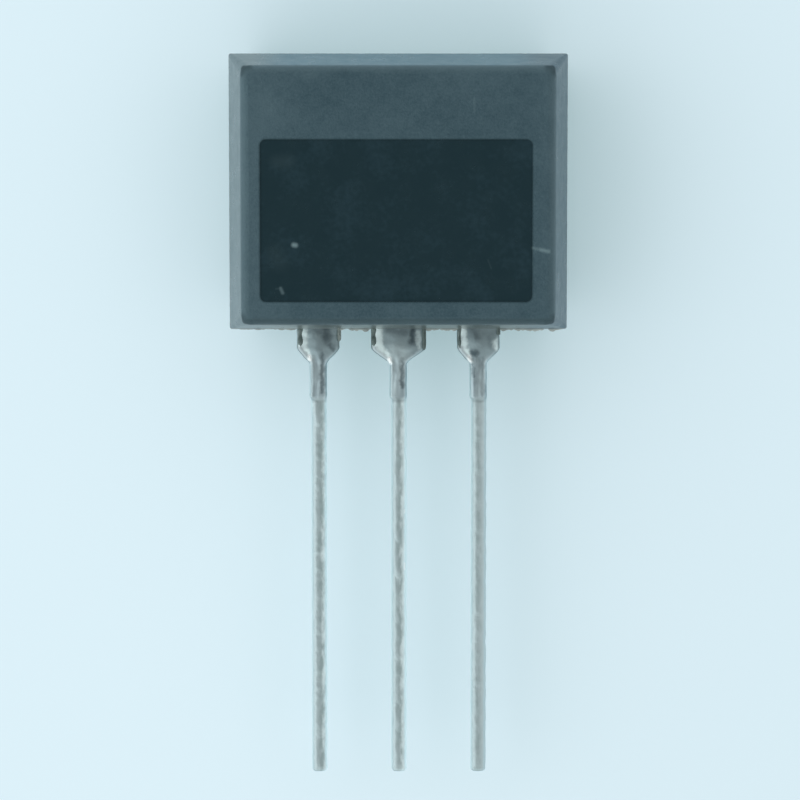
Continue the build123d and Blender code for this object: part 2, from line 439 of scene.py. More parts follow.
# %% Scratches, specks and smudges
# Each mark: what it is, its two ends (x, y) and its width in mm, and how much of the scuff's colour shows.
MARKS = [
    ("scratch", (4.11, -1.59), (4.34, -1.64), 0.080, 0.30),
    ("scratch", (4.34, -1.64), (4.60, -1.70), 0.100, 0.52),
    ("scratch", (-3.59, -2.83), (-3.53, -2.97), 0.095, 0.42),
    ("scratch", (-3.73, -2.84), (-3.59, -2.83), 0.060, 0.14),
    ("speck", (-3.19, -1.50), (-3.13, -1.51), 0.125, 0.88),
    ("faint line", (2.31, 2.98), (2.32, 2.56), 0.060, 0.14),
    ("faint line", (2.74, -1.95), (2.84, -2.22), 0.050, 0.14),
    ("smudge", (-3.70, 1.04), (-3.35, 1.06), 0.35, 0.045),
    ("smudge", (-3.75, -1.75), (-3.60, -2.05), 0.45, 0.030),
    ("smudge", (-2.75, 3.66), (-2.55, 3.68), 0.30, 0.07),
    ("smudge", (-4.05, 2.95), (-3.95, 2.70), 0.50, 0.06),
]
print("marks on the face:", {kind: sum(mark[0] == kind for mark in MARKS) for kind, *_ in MARKS})


def face_marks(tree, point):
    """Mask of all the scratches, specks and smudges."""
    lines = []
    for _, start, end, width, depth in MARKS:
        ends = [(x * MM, y * MM, front) for x, y in (start, end)]
        lines.append((*ends, width, depth))
    return line_marks(tree, point, lines)


# %% Walls of the body
END_BORDER = 0.1 * MM
SIDE_BORDER = 1.2 * MM


def wall_colour(tree, place):
    """Colour of the walls: each wall's tone of painted light, lit or shaded, which takes over where the
    face ends on that side.

    The wall that the leads leave is painted lighter towards the parting line, most at its left, as painted
    reflection. Below the parting line all the walls are nearly one tone.
    """
    borders = {
        "Top": ("Y", face_high[1] - END_BORDER, face_high[1] + END_BORDER),
        "Lead end": ("Y", face_low[1] + END_BORDER, face_low[1] - END_BORDER),
        "Left": ("X", face_low[0] + SIDE_BORDER, face_low[0]),
        "Right": ("X", face_high[0] - SIDE_BORDER, face_high[0]),
    }
    # Painted reflection on the lead-end wall, lighter towards the parting line and most at the left.
    painted_light_near_parting = fade(tree, place["Z"], front - 0.5 * MM, parting)
    painted_light_near_parting = math(tree, "MULTIPLY", painted_light_near_parting, fade(tree, place["X"], -4 * MM, 0.5 * MM, 1.0, 0.40))
    tones = dict(WALL_PAINTED_LIGHT)
    tones["Lead end"] = blend_colour(tree, painted_light_near_parting, WALL_PAINTED_LIGHT["Lead end"], EPOXY_PAINTED_LIGHT)
    colour = tones["Top"]
    for name, (axis, start, end) in borders.items():
        colour = blend_colour(tree, fade(tree, place[axis], start, end), colour, tones[name])
    below = fade(tree, place["Z"], parting + 0.05 * MM, parting - 0.35 * MM, 0.0, 0.8)
    return blend_colour(tree, below, colour, WALLS_BELOW)


def shade_line_mask(tree, place, depth):
    """How dark the painted shade is: a thin line on the wall at the lead end, just under the face."""
    line = fade(tree, place["Y"], face_low[1] + 0.02 * MM, face_low[1] - 0.10 * MM, 0.0, 0.60)
    return math(tree, "MULTIPLY", line, fade(tree, depth, -0.45 * MM, -0.25 * MM))


def corner_shade_mask(tree, point, place, on_front):
    """Painted shade: 1 where the walls turn the face's corners, inside the corners it would have if it were
    sharp.
    """
    middle = (face_low + face_high) / 2
    half = (face_high - face_low) / 2
    box = {"Point": point, "Centre": (*middle, front), "Half Size": (*(half + 0.20 * MM), 1.4 * MM)}
    mask = use_group(tree, box_mask, box | {"Corner": 0.08 * MM, "Border": 0.06 * MM})
    mask = math(tree, "MULTIPLY", mask, math(tree, "SUBTRACT", 1.0, on_front))
    for axis, centre, reach in zip("XY", middle, half):
        beside = math(tree, "ABSOLUTE", math(tree, "SUBTRACT", place[axis], float(centre)))
        mask = math(tree, "MULTIPLY", mask, fade(tree, beside, reach - 0.20 * MM, reach))
    return mask


# %% Face and polished patch
PATCH_RADIUS = 0.16 * MM
PATCH_BORDER = 0.10 * MM


def patch_mask(tree, point):
    """1 on the polished patch, 0 outside it."""
    middle = (*((patch_low + patch_high) / 2), front)
    half = (*((patch_high - patch_low) / 2 - 0.03 * MM), 0.2 * MM)
    box = {"Point": point, "Centre": middle, "Half Size": half}
    return use_group(tree, box_mask, box | {"Corner": PATCH_RADIUS, "Border": PATCH_BORDER})


def patch_colour(tree, point):
    """Dark polish with a little smudge and grime, in two sizes of mottle."""
    smudge = mottled(tree, point, 1.1, -0.24, 0.20)
    grime = mottled(tree, point, 0.16, -0.10, 0.20)
    return blend_colour(tree, math(tree, "ADD", smudge, grime), PATCH, EPOXY)


def face_colour(tree, point, place):
    """Three sizes of mottle, and painted light: lighter towards the left side, and a little towards the
    right.
    """
    coarse = mottled(tree, point, 1.4, -0.05, 0.40)
    middle = mottled(tree, point, 0.30, -0.05, 0.25)
    fine = mottled(tree, point, 0.07, -0.10, 0.45)
    # Painted light: the face lighter towards its left side, and a little towards its right.
    painted_light_left = fade(tree, place["X"], -2.6 * MM, -4.8 * MM, 0.0, 0.45)
    painted_light_right = fade(tree, place["X"], 3.9 * MM, 4.8 * MM, 0.0, 0.20)
    pale = math(tree, "ADD", coarse, middle, fine, painted_light_left, painted_light_right)
    return blend_colour(tree, pale, EPOXY, EPOXY_PALE)


# %% Helpers for surfaces


def bumps(tree, height, distance):
    """Normal bent by a height between 0 and 1, which stands for this distance."""
    return add_node(tree, "Bump", {"Height": height, "Strength": 1.0, "Distance": distance}).outputs[0]


def add_surface(tree, surface):
    """The material's surface, with its inputs set or linked, at the output node."""
    shader = add_node(tree, "BsdfPrincipled", surface).outputs[0]
    add_node(tree, "OutputMaterial", {"Surface": shader})


def dress(name, material):
    """Gives a solid its material, in place of the plain one that it came with."""
    mesh = nodes[name].data
    mesh.materials.clear()
    mesh.materials.append(material)


# %% Epoxy material
EDGE_REACH = 0.12 * MM


def epoxy_material():
    """Dull grained epoxy with its polished patch and scuffs. The walls came out of the mould smoother.

    The face's share of the look is exp(-depth / reach), so it ends on the rounded edge. The rest of the
    edge is one lighter grey of painted light, and each wall's painted light starts below it.
    """
    material, tree, point = new_material("moulded_epoxy")
    place = add_node(tree, "SeparateXYZ", {0: point}).outputs
    depth = math(tree, "MINIMUM", math(tree, "SUBTRACT", place["Z"], front), 0.0)
    on_front = math(tree, "EXPONENT", math(tree, "DIVIDE", depth, EDGE_REACH))
    on_wall = fade(tree, depth, -0.12 * MM, -0.30 * MM)
    patch = patch_mask(tree, point)
    corners = corner_shade_mask(tree, point, place, on_front)

    # Painted light: the rounded edge in one lighter grey, like the walls.
    colour = blend_colour(tree, on_wall, EPOXY_EDGE_PAINTED_LIGHT, wall_colour(tree, place))
    colour = blend_colour(tree, on_front, colour, face_colour(tree, point, place))
    # Painted shade: a dark line under the face at the lead end, and the face's rounded corners.
    dark = math(tree, "MAXIMUM", shade_line_mask(tree, place, depth), corners)
    colour = blend_colour(tree, dark, colour, EPOXY_PAINTED_SHADE)
    colour = blend_colour(tree, patch, colour, patch_colour(tree, point))
    colour = blend_colour(tree, face_marks(tree, point), colour, SCUFF)

    on_face = math(tree, "MAXIMUM", on_front, patch)
    rough = math(tree, "ADD", mottled(tree, point, 0.5, -0.04, 0.04), fade(tree, on_face, 0, 1, 0.30, 0.52))
    polished = math(tree, "MULTIPLY", patch, -0.28)
    rough = math(tree, "ADD", rough, polished, math(tree, "MULTIPLY", corners, 0.45))
    grain = math(tree, "ADD", mottled(tree, point, 0.055), mottled(tree, point, 0.18))
    polish = fade(tree, patch, 0.0, 1.0, 1.0, 0.15)
    height = math(tree, "MULTIPLY", grain, polish, fade(tree, on_face, 0.0, 1.0, 0.25, 1.0))
    surface = {"Base Color": colour, "Roughness": rough, "Normal": bumps(tree, height, 0.007 * MM)}
    add_surface(tree, surface | {"IOR": 1.5, "Specular Tint": EPOXY_SHEEN})
    return material


epoxy = epoxy_material()
dress("moulded_body", epoxy)
print("nodes in the epoxy:", len(epoxy.node_tree.nodes))

# %% [markdown]
# ## Tin
#
# The leads are copper alloy, dipped in molten tin. Tin is a metal, so its colour is in its reflections,
# and here it has gone dull. Over each root a dark cup of painted reflection spreads towards the wall,
# darkest in blots of painted shade near it, with painted highlights on the tin beside it. The necks keep
# grey bands from the rolling of the strip, with painted shade down their left flanks. Painted shade darkens
# the edges cut by the press and the left slopes, and a painted white glint stands in each left inside
# corner. Along the stems a dark core of painted shade runs between a flank in painted shade and one in
# painted light. Inside the body the strip has no tin, and shows its rolled copper. All of it is worked
# out from x, measured from the nearest lead's middle line, and from d, the distance from the wall.

# %% Colours of the tin
# Painted highlight and painted reflection on the roots: light tin at the left, a dark cup over the rest.
TIN_PAINTED_HIGHLIGHT = (0.74, 0.90, 0.91, 1.0)
TIN_PAINTED_CUP_SHADE = (0.295, 0.39, 0.415, 1.0)
# Painted shade, in blots and lines on the roots and necks.
TIN_PAINTED_SHADE = (0.045, 0.072, 0.086, 1.0)
TIN_NECK = (0.54, 0.67, 0.70, 1.0)
TIN_NECK_DARK = (0.32, 0.42, 0.46, 1.0)
# Painted shade down the necks' left flanks, and painted light at their left edges.
TIN_NECK_PAINTED_SHADE = (0.29, 0.37, 0.39, 1.0)
TIN_NECK_PAINTED_LIGHT = (0.56, 0.67, 0.69, 1.0)
# Painted light and shade on the stems: a shaded left flank, a lit right one, a dark core and light edges.
TIN_PAINTED_SHADE_LEFT = (0.45, 0.55, 0.57, 1.0)
TIN_PAINTED_LIGHT_RIGHT = (0.73, 0.86, 0.88, 1.0)
TIN_PAINTED_CORE = (0.36, 0.46, 0.47, 1.0)
TIN_PAINTED_EDGE_LIGHT = (0.84, 0.97, 0.99, 1.0)
TIN_JOINT = (0.22, 0.28, 0.29, 1.0)
# Painted shade on the left slopes and along the edges cut by the press.
TIN_SLOPE_SHADE = (0.36, 0.44, 0.46, 1.0)
TIN_EDGE_SHADE = (0.24, 0.30, 0.31, 1.0)
# Painted glint: white, where the tin would catch the light.
TIN_PAINTED_GLINT = (0.92, 1.00, 1.00, 1.0)
COPPER = (0.64, 0.36, 0.25, 1.0)

# %% Painted glints, highlights and shade
# Each mark on a lead: its two ends (x, d) and its width in mm, and how much of its colour shows.
# Painted glints, white, in the left inside corners and on the collector's stem.
PAINTED_GLINTS = {
    "emitter": [((-0.275, 0.86), (-0.265, 0.95), 0.095, 1.0)],
    "collector": [
        ((-0.275, 0.93), (-0.265, 1.06), 0.105, 1.0),
        ((0.20, 5.70), (0.20, 5.80), 0.040, 0.6),
        ((0.20, 7.40), (0.20, 7.60), 0.040, 0.8),
    ],
    "base": [((-0.290, 0.88), (-0.270, 1.00), 0.11, 0.7)],
}
# Painted highlights on the roots.
PAINTED_HIGHLIGHTS = {
    "emitter": [((-0.44, 0.05), (-0.40, 0.45), 0.14, 0.8)],
    "collector": [
        ((-0.62, 0.05), (-0.56, 0.40), 0.15, 0.8),
        ((0.62, 0.10), (0.64, 0.55), 0.10, 0.55),
        ((-0.08, 0.72), (0.12, 0.80), 0.42, 0.32),
    ],
    "base": [
        ((-0.47, 0.05), (-0.43, 0.50), 0.13, 0.8),
        ((0.52, 0.40), (0.58, 0.60), 0.16, 0.8),
    ],
}
# Painted shade: dark blots near the wall, where the body wall is reflected, and dark lines on the necks.
PAINTED_SHADE_MARKS = {
    "emitter": [
        ((0.25, 0.02), (0.28, 0.32), 0.26, 0.70),
        ((-0.18, 0.02), (0.10, 0.06), 0.20, 0.45),
        ((-0.15, 0.12), (-0.13, 0.28), 0.14, 0.25),
        ((-0.54, 0.64), (-0.37, 0.77), 0.06, 0.35),
        ((0.57, 0.12), (0.57, 0.55), 0.13, 0.15),
        ((0.36, 0.52), (0.46, 0.62), 0.14, 0.55),
        ((0.13, 0.80), (0.13, 2.00), 0.13, 0.60),
    ],
    "collector": [
        ((0.43, 0.04), (0.46, 0.40), 0.22, 0.80),
        ((-0.32, 0.02), (0.20, 0.08), 0.24, 0.55),
        ((-0.72, 0.66), (-0.40, 0.80), 0.06, 0.22),
        ((0.12, 0.95), (0.13, 1.85), 0.12, 0.60),
    ],
    "base": [
        ((-0.24, 0.04), (-0.10, 0.22), 0.28, 0.58),
        ((-0.16, 0.74), (-0.08, 0.80), 0.18, 0.85),
        ((-0.20, 0.95), (-0.12, 1.45), 0.10, 0.55),
        ((0.02, 0.95), (0.06, 1.95), 0.22, 0.25),
        ((0.05, 0.04), (0.50, 0.10), 0.22, 0.22),
        ((0.34, 0.20), (0.38, 0.52), 0.16, 0.22),
        ((0.13, 0.95), (0.16, 1.95), 0.12, 0.30),
    ],
}
print("painted_shade_marks:", {name: len(marks) for name, marks in PAINTED_SHADE_MARKS.items()})

# %% Places on a lead
SKIN_ROOT = 0.010 * MM
SKIN_NECK = 0.012 * MM
SKIN_STEM = 0.015 * MM
NECK_EASE = 0.17 * MM
STEM_EASE = 0.03 * MM
pitch = plans["base"][0] - plans["collector"][0]


def lead_place(tree, place):
    """On the nearest lead: x from its middle line, distance from the wall, and the skin's half widths."""
    _, distances, centre_halves = plans["collector"]
    side_halves = plans["emitter"][2]
    root_end, neck_start, neck_end, stem_start = distances[:4]
    wrap = {0: place["X"], 1: pitch / 2, 2: -pitch / 2}
    across = add_node(tree, "Math", wrap, operation="WRAP").outputs[0]
    down = math(tree, "SUBTRACT", lead_end, place["Y"])
    is_side = math(tree, "GREATER_THAN", math(tree, "ABSOLUTE", place["X"]), pitch / 2)
    root_half = math(tree, "MULTIPLY", is_side, side_halves[0] - centre_halves[0])
    root_half = math(tree, "ADD", root_half, centre_halves[0] + SKIN_ROOT)
    half = fade(tree, down, root_end, neck_start + NECK_EASE, root_half, side_halves[1] + SKIN_NECK)
    half = fade(tree, down, neck_end, stem_start + STEM_EASE, half, side_halves[3] + SKIN_STEM)
    return across, down, root_half, half


def stretched(tree, point, scale):
    """The point with its axes scaled, which draws a pattern out along an axis whose scale is small."""
    return add_node(tree, "Mapping", {"Vector": point, "Scale": scale}).outputs[0]


def ragged_point(tree, point):
    """The point moved by up to 0.12 mm by noise, which gives whatever is placed by it a ragged border."""
    noise = add_node(tree, "TexNoise", {"Vector": point, "Scale": 5 / MM, "Detail": 3.0}).outputs["Color"]
    shift = scaled(tree, vector_math(tree, "SUBTRACT", noise, (0.5, 0.5, 0.5)), 0.24 * MM)
    return vector_math(tree, "ADD", point, shift)


def lead_marks(tree, point, marks_by_lead):
    """Mask of line marks on the leads, seen along Z."""
    lines = []
    for name, marks in marks_by_lead.items():
        for start, end, width, depth in marks:
            ends = [(plans[name][0] + x * MM, lead_end - d * MM, 0.0) for x, d in (start, end)]
            lines.append((*ends, width, depth))
    return line_marks(tree, stretched(tree, point, (1.0, 1.0, 0.0)), lines)


# %% Tin over the roots and necks
CUP_SHARE = 0.72
CUP_HALF = 0.26 * MM
CUP_START = 0.35 * MM
CUP_END = 0.95 * MM


def root_colour(tree, point, across, down, root_half):
    """A painted highlight at the left of the root, and a dark cup of painted reflection over the rest, with
    a ragged border.
    """
    ragged = mottled(tree, point, 0.22, -0.05 * MM, 0.05 * MM)
    cup = fade(tree, down, CUP_START, CUP_END, math(tree, "MULTIPLY", root_half, CUP_SHARE), CUP_HALF)
    in_cup = fade(tree, math(tree, "ADD", across, ragged, cup), -0.04 * MM, 0.16 * MM)
    return blend_colour(tree, in_cup, TIN_PAINTED_HIGHLIGHT, TIN_PAINTED_CUP_SHADE)


def neck_colour(tree, point, across, left_to_right):
    """Two greys in long bands, with painted shade down the left flank, most of all on the emitter's, and
    painted light at the left edge.
    """
    bands = mottled(tree, stretched(tree, point, (1.0, 0.12, 1.0)), 0.20, -0.1, 1.0)
    colour = blend_colour(tree, bands, TIN_NECK, TIN_NECK_DARK)
    # Painted shade down the left flank, and painted light at the very left edge.
    flank = fade(tree, across, -0.09 * MM, -0.17 * MM)
    flank = math(tree, "MULTIPLY", flank, fade(tree, left_to_right, -0.5, 0.5, 1.1, 0.5))
    colour = blend_colour(tree, flank, colour, TIN_NECK_PAINTED_SHADE)
    return blend_colour(tree, fade(tree, across, -0.19 * MM, -0.25 * MM), colour, TIN_NECK_PAINTED_LIGHT)


# %% Tin along the stems
CORE_HALF = 0.18 * MM


def stem_colour(tree, point, across, left_to_right, streaks):
    """A dark core of painted shade that wanders along the stem, between a left flank in painted shade and a
    right one in painted light.

    The flanks are painted light to the very edges. The emitter's core lies a little to the right, and the
    base lead's right flank is painted as dull as its left.
    """
    drift = mottled(tree, stretched(tree, point, (0.2, 1.0, 0.2)), 0.9, 0.00, 0.05 * MM)
    drift = math(tree, "ADD", drift, fade(tree, left_to_right, -0.5, 0.5, 0.045 * MM, -0.030 * MM))
    beside = math(tree, "SUBTRACT", across, drift)
    # Painted light and shade across the stem: the right flank lit, the edges light, the core dark.
    dull = fade(tree, left_to_right, 0.0, 0.5, 1.0, 0.20)
    right = math(tree, "MULTIPLY", fade(tree, beside, -0.03 * MM, 0.06 * MM), dull)
    flanks = blend_colour(tree, right, TIN_PAINTED_SHADE_LEFT, TIN_PAINTED_LIGHT_RIGHT)
    paler = math(tree, "MULTIPLY", fade(tree, across, 0.14 * MM, 0.25 * MM), dull)
    paler = math(tree, "MAXIMUM", paler, fade(tree, across, -0.14 * MM, -0.25 * MM))
    flanks = blend_colour(tree, paler, flanks, TIN_PAINTED_EDGE_LIGHT)
    away = math(tree, "DIVIDE", math(tree, "ABSOLUTE", beside), CORE_HALF)
    core = math(tree, "MAXIMUM", math(tree, "SUBTRACT", 1.0, away), 0.0)
    broken = fade(tree, streaks, 0.0, 1.0, 0.30, 1.50)
    core = math(tree, "MULTIPLY", core, broken, fade(tree, left_to_right, 0.0, 0.5, 1.0, 0.70))
    return blend_colour(tree, core, flanks, TIN_PAINTED_CORE)


# %% Tin at the edges and joints
lead_steps = plans["emitter"][1][:3]


def joint_mask(tree, across, down):
    """How dull the ring is where the neck steps down to the stem, most in its middle."""
    neck_end = lead_steps[2]
    starts = fade(tree, down, neck_end, neck_end + 0.05 * MM)
    ends = fade(tree, down, neck_end + 0.24 * MM, neck_end + 0.12 * MM)
    inner = fade(tree, math(tree, "ABSOLUTE", across), 0.22 * MM, 0.10 * MM, 0.20, 0.62)
    return math(tree, "MULTIPLY", starts, ends, inner)


def slope_shade_mask(tree, across, down, border):
    """Painted shade: 1 on the left slope between the root and the neck."""
    root_end, neck_start, _ = lead_steps
    starts = fade(tree, down, root_end - 0.10 * MM, root_end + 0.02 * MM)
    ends = fade(tree, down, neck_start + 0.14 * MM, neck_start + 0.04 * MM)
    near_edge = fade(tree, border, 0.26 * MM, 0.12 * MM)
    return math(tree, "MULTIPLY", starts, ends, near_edge, fade(tree, across, 0.0, -0.1 * MM))


def edge_shade_mask(tree, down, border, neck):
    """How dark the painted shade along the edges cut by the press is: most on the root, less on its slopes,
    not on the neck.
    """
    cut = fade(tree, border, 0.08 * MM, 0.03 * MM)
    off_neck = fade(tree, neck, 0.0, 1.0, 0.90, 0.0)
    slopes = fade(tree, down, lead_steps[0] - 0.05 * MM, lead_steps[0] + 0.10 * MM, 1.0, 0.55)
    return math(tree, "MULTIPLY", cut, off_neck, slopes)


# %% Tin material


def tin_material():
    """Dull tin dip with painted light and shade: dark over the roots, banded along the necks, streaked on
    the stems, none inside.
    """
    material, tree, point = new_material("tin_dip")
    place = add_node(tree, "SeparateXYZ", {0: point}).outputs
    across, down, root_half, half = lead_place(tree, place)
    left_to_right = math(tree, "DIVIDE", place["X"], 2 * pitch)
    border = math(tree, "SUBTRACT", half, math(tree, "ABSOLUTE", across))
    shifted = ragged_point(tree, point)
    streaks = mottled(tree, stretched(tree, point, (1.0, 0.36, 1.0)), 0.13)
    _, neck_start, neck_end = lead_steps
    neck = fade(tree, down, neck_start - 0.25 * MM, neck_start + 0.15 * MM)
    stem = fade(tree, down, neck_end - 0.02 * MM, neck_end + 0.18 * MM)
    upper = fade(tree, place["Z"], lead_middle, lead_middle + 0.1 * MM)
    painted_glints = math(tree, "MULTIPLY", lead_marks(tree, point, PAINTED_GLINTS), upper)

    colour = root_colour(tree, point, across, down, root_half)
    colour = blend_colour(tree, neck, colour, neck_colour(tree, point, across, left_to_right))
    # Painted shade.
    colour = blend_colour(tree, lead_marks(tree, shifted, PAINTED_SHADE_MARKS), colour, TIN_PAINTED_SHADE)
    # Painted highlights.
    colour = blend_colour(tree, lead_marks(tree, shifted, PAINTED_HIGHLIGHTS), colour, TIN_PAINTED_HIGHLIGHT)
    colour = blend_colour(tree, stem, colour, stem_colour(tree, point, across, left_to_right, streaks))
    colour = blend_colour(tree, joint_mask(tree, across, down), colour, TIN_JOINT)
    # Painted shade on the left slopes and along the edges.
    colour = blend_colour(tree, slope_shade_mask(tree, across, down, border), colour, TIN_SLOPE_SHADE)
    colour = blend_colour(tree, edge_shade_mask(tree, down, border, neck), colour, TIN_EDGE_SHADE)
    # Painted glint: white and not metal.
    colour = blend_colour(tree, painted_glints, colour, TIN_PAINTED_GLINT)
    inside = fade(tree, place["Y"], lead_end + 0.16 * MM, lead_end + 0.20 * MM)
    colour = blend_colour(tree, inside, colour, COPPER)

    rough = math(tree, "ADD", fade(tree, stem, 0.0, 1.0, 0.46, 0.56), math(tree, "MULTIPLY", painted_glints, -0.30))
    grains = math(tree, "ADD", mottled(tree, point, 0.09), streaks)
    height = math(tree, "MULTIPLY", grains, fade(tree, stem, 0.0, 1.0, 0.4, 1.0))
    surface = {"Base Color": colour, "Roughness": rough, "Normal": bumps(tree, height, 0.005 * MM)}
    add_surface(tree, surface | {"Metallic": math(tree, "SUBTRACT", 1.0, painted_glints)})
    return material


tin = tin_material()
for name in LEADS:
    dress(f"{name}_lead", tin)
print("nodes in the tin:", len(tin.node_tree.nodes))

# %% [markdown]
# ## Skins of tin
#
# Each skin is one closed surface round a lead. Its section is a superellipse, |x/a|^n + |z/b|^n = 1,
# nearly a rectangle at the wide root and rounder along the stem, written in polar form so that its points
# are dense where the section is flat. A smooth step carries a, b and n from root to neck to stem. Over
# the root the tin stands in a ridge that widens towards the body, a bead fills the left inside corner,
# shallow bands run along the neck, and a sum of seeded waves makes the stems lumpy.

# %% Helpers for skins


def smooth_step(value, start, end):
    """0 before start, 1 after end, and t t (3 - 2 t) between."""
    t = np.clip((value - start) / (end - start), 0, 1)
    return t * t * (3 - 2 * t)


def steps(value, levels, ramps):
    """The first level, then each next one after its ramp (start, end)."""
    total = np.full_like(value, levels[0])
    for before, after, (start, end) in zip(levels, levels[1:], ramps):
        total += (after - before) * smooth_step(value, start, end)
    return total


def lumps(distance, angle, generator, waves=28):
    """Sum of waves sin(k d + m angle + phase), lengths from 0.25 to 1.6 mm, scaled to a spread of 1."""
    length = generator.uniform(0.25, 1.6, waves) * MM
    turns = generator.integers(0, 4, waves)
    phase = generator.uniform(0, 2 * np.pi, waves)
    along = 2 * np.pi * distance[..., None] / length
    total = np.sin(along + turns * angle[..., None] + phase).sum(axis=-1)
    return total / np.sqrt(waves / 2)


# %% Skins of tin


def tin_skin(name, plan, seed, lean, rows=640, columns=88):
    """Skin over one lead: section radius r = (|cos/a|^n + |sin/b|^n)^(-1/n), lumps, and what it carries."""
    middle, distances, half_widths = plan
    root_end, neck_start, neck_end, stem_start, _, tip = distances
    root_half, neck_half, _, stem_half, _, _ = half_widths
    start = -0.15 * MM
    end = tip + 0.06 * MM
    distance = np.linspace(start, end, rows)[:, None]
    angle = np.linspace(0, 2 * np.pi, columns, endpoint=False)[None, :]
    ramps = [(root_end, neck_start + NECK_EASE), (neck_end, stem_start + STEM_EASE)]

    # Section: half width a, swollen a little at the neck's end, half height b and power n.
    a = steps(distance, [root_half + SKIN_ROOT, neck_half + SKIN_NECK, stem_half + SKIN_STEM], ramps)
    a += 0.006 * MM * np.exp(-(((distance - neck_end + 0.03 * MM) / (0.06 * MM)) ** 2))
    b = half_thickness + steps(distance, [0.030 * MM, 0.040 * MM, 0.018 * MM], ramps)
    n = steps(distance, [7.5, 4.4, 2.5], ramps)
    cosine = np.cos(angle)
    sine = np.sin(angle)
    radius = (np.abs(cosine / a) ** n + np.abs(sine / b) ** n) ** (-1 / n)

    # Lumps, and the rounded tip.
    generator = np.random.default_rng(seed)
    rough = steps(distance, [0.004 * MM, 0.003 * MM, 0.005 * MM], ramps)
    radius = radius + rough * lumps(distance, angle, generator)
    rounding = np.clip((end - distance) / (0.15 * MM), 0, 1)
    radius = radius * (1 - 0.97 * (1 - rounding) ** 3) ** (1 / 3)
    x = radius * cosine
    z = radius * sine

    # Ridge over the root and neck, bead in the left corner, more tin on the stem's right, and the bands.
    ridge = steps(distance, [0.070 * MM, 0.070 * MM, 0.010 * MM, 0.0], [(0, root_end), ramps[0], ramps[1]])
    ridge_half = steps(distance, [CUP_SHARE * root_half, CUP_HALF], [(CUP_START, CUP_END)])
    z = z + ridge * sine * np.exp(-np.abs((x - lean) / ridge_half) ** 3)
    in_corner = np.exp(-(((distance - neck_start + 0.04 * MM) / (0.10 * MM)) ** 2))
    x = x - 0.035 * MM * in_corner * np.clip(-cosine, 0, 1) ** 2
    pool = steps(distance, [0.0, 0.040 * MM], [ramps[1]])
    x = x + pool * np.clip(cosine, 0, 1)
    bands = steps(distance, [0.0, 0.006 * MM, 0.0], ramps)
    sway = 1.2 * np.sin(2 * np.pi * distance / (1.9 * MM) + seed)
    z = z + bands * sine * np.sin(2 * np.pi * x / (0.26 * MM) + sway + 2 * seed)

    rings = np.stack([middle + x, lead_end - distance + 0 * x, lead_middle + z], axis=-1)
    made = skin(name, rings)
    made.data.materials.append(tin)
    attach(made, "root")
    return made


for seed, (name, lean) in enumerate(zip(LEADS, [0.05 * MM, 0.0, 0.03 * MM])):
    tin_skin(f"{name}_tin", plans[name], seed, lean)

# %% [markdown]
# ## Resin flash
#
# Where the two halves of the mould meet, a hair of resin creeps out. Round three sides it is a line that
# a nail can feel. At the lead end the gap is wider, and a thin ragged pale lip is left. It is a
# lens-shaped section carried round the body's outline at the parting plane. The outline is the nearest
# point of a smaller rectangle, pushed out by the corner radius, and the lip's width is a sum of seeded
# waves.

# %% Thin resin
FLASH = (0.205, 0.245, 0.240, 1.0)
FLASH_PALE = (0.400, 0.470, 0.455, 1.0)


def thin_resin_material():
    """Epoxy so thin that it looks pale, mottled in two tones."""
    material, tree, point = new_material("thin_resin")
    colour = blend_colour(tree, mottled(tree, point, 0.35), FLASH, FLASH_PALE)
    normal = bumps(tree, mottled(tree, point, 0.05), 0.004 * MM)
    add_surface(tree, {"Base Color": colour, "Roughness": 0.45, "Normal": normal})
    return material


# %% Resin flash
CORNER = 0.07 * MM
FLASH_SUNK = 0.04 * MM
FLASH_HAIR = 0.003 * MM
FLASH_LEFT = 0.022 * MM
FLASH_RIGHT = 0.050 * MM
FLASH_SEED = 11


def outline(share):
    """Points and outward normals of the rounded outline, at shares 0 to 1 of the way round it."""
    half = np.array([body_high.x, body_high.y])
    corners = half * np.array([[-1, -1], [1, -1], [1, 1], [-1, 1], [-1, -1]])
    along = np.concatenate([[0], np.cumsum(np.linalg.norm(np.diff(corners, axis=0), axis=1))])
    sharp = np.stack([np.interp(share * along[-1], along, corners[:, axis]) for axis in (0, 1)], axis=-1)
    core = np.clip(sharp, CORNER - half, half - CORNER)
    normal = (sharp - core) / np.linalg.norm(sharp - core, axis=1, keepdims=True)
    return core + CORNER * normal, normal


